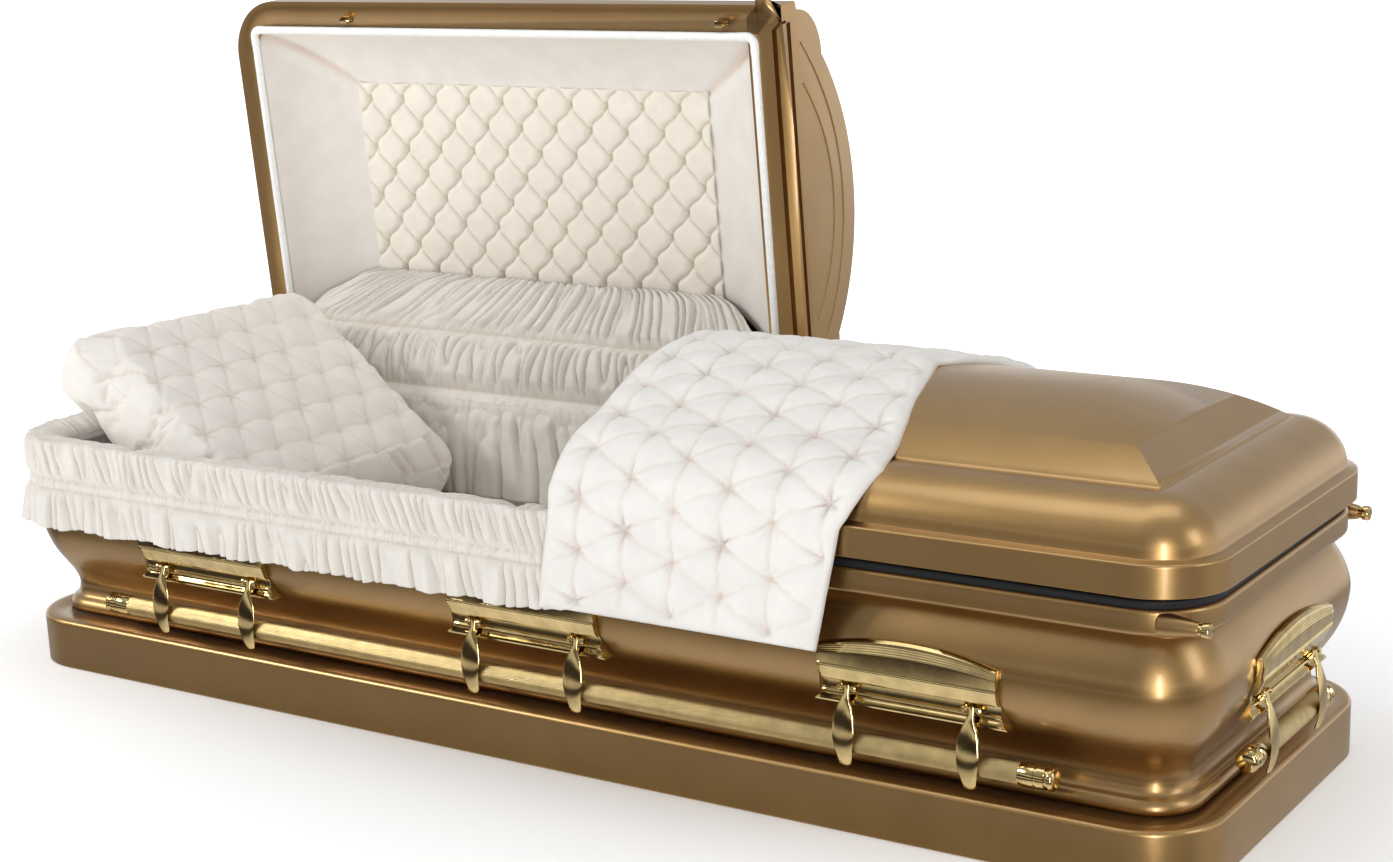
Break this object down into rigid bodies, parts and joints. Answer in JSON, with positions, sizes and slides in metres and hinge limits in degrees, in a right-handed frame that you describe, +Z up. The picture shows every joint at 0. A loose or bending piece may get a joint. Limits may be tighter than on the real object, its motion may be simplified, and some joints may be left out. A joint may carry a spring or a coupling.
{
  "type": "funeral casket",
  "caption": "Half-couch sheet-metal funeral casket with a domed two-piece lid, head lid open, tufted lining, pillow, throw and swing-bar handles.",
  "frame": {"origin": "middle of the underside of the base moulding", "axes": "+X along the casket towards the foot end, +Y across it towards the hinge side, +Z up"},
  "size_m": [2.17, 0.885, 1.068],
  "materials": {
    "bronze_paint": "metallic gloss",
    "black_rubber": "matt",
    "white_plastic": "satin",
    "satin_gold": "satin",
    "polished_gold": "polished",
    "ivory_velvet": "matt pile",
    "ivory_crepe": "matt crepe"
  },
  "bodies": {
    "casket": {"base_moulding": "bronze_paint", "body_shell": "bronze_paint", "gasket": "black_rubber", "bed": "ivory_crepe", "body_lining": "ivory_crepe", "valance": "ivory_crepe", "pillow": "ivory_velvet", "head_hinge_1_body_leaf": "polished_gold", "head_hinge_2_body_leaf": "polished_gold", "foot_hinge_1_body_leaf": "polished_gold", "foot_hinge_2_body_leaf": "polished_gold", "front_lug_1": "polished_gold", "front_lug_2": "polished_gold", "front_lug_3": "polished_gold", "back_lug_1": "polished_gold", "back_lug_2": "polished_gold", "back_lug_3": "polished_gold", "head_lug": "polished_gold", "foot_lug": "polished_gold", "front_end_tube": "polished_gold", "back_end_tube": "polished_gold"},
    "head_lid": {"head_lid_shell": "bronze_paint", "head_lid_moulding": "white_plastic", "head_lid_cove": "ivory_velvet", "head_lid_apron": "ivory_crepe", "head_lid_tufting": "ivory_velvet", "head_lid_catch_1": "polished_gold", "head_lid_catch_2": "polished_gold", "head_hinge_1_lid_leaf": "polished_gold", "head_hinge_2_lid_leaf": "polished_gold"},
    "foot_lid": {"foot_lid_shell": "bronze_paint", "foot_lid_lining": "ivory_crepe", "foot_lid_throw": "ivory_crepe", "foot_hinge_1_lid_leaf": "polished_gold", "foot_hinge_2_lid_leaf": "polished_gold"},
    "front_rail": {"front_bar": "satin_gold", "front_arm_1": "polished_gold", "front_arm_2": "polished_gold", "front_arm_3": "polished_gold", "front_arm_4": "polished_gold", "front_arm_5": "polished_gold", "front_arm_6": "polished_gold"},
    "back_rail": {"back_bar": "satin_gold", "back_arm_1": "polished_gold", "back_arm_2": "polished_gold", "back_arm_3": "polished_gold", "back_arm_4": "polished_gold", "back_arm_5": "polished_gold", "back_arm_6": "polished_gold"},
    "head_rail": {"head_bar": "satin_gold", "head_arm_1": "polished_gold", "head_arm_2": "polished_gold"},
    "foot_rail": {"foot_bar": "satin_gold", "foot_arm_1": "polished_gold", "foot_arm_2": "polished_gold"}
  },
  "joints": [
    {"name": "head_lid_hinge", "type": "hinge", "parent": "casket", "child": "head_lid", "pos_m": [0, 0.3524, 0.3855], "axis": [-1, 0, 0], "range_deg": [-84.9, 0], "deforming": ["pillow", "valance"]},
    {"name": "foot_lid_hinge", "type": "hinge", "parent": "casket", "child": "foot_lid", "pos_m": [0, 0.3524, 0.3855], "axis": [-1, 0, 0], "range_deg": [0, 84.9]},
    {"name": "front_bar_swing", "type": "hinge", "parent": "casket", "child": "front_rail", "pos_m": [0, -0.324, 0.204], "axis": [-1, 0, 0], "range_deg": [0, 70]},
    {"name": "back_bar_swing", "type": "hinge", "parent": "casket", "child": "back_rail", "pos_m": [0, 0.324, 0.204], "axis": [1, 0, 0], "range_deg": [0, 70]},
    {"name": "head_bar_swing", "type": "hinge", "parent": "casket", "child": "head_rail", "pos_m": [-1.06, 0, 0.204], "axis": [0, 1, 0], "range_deg": [0, 70]},
    {"name": "foot_bar_swing", "type": "hinge", "parent": "casket", "child": "foot_rail", "pos_m": [1.06, 0, 0.204], "axis": [0, -1, 0], "range_deg": [0, 70]}
  ]
}
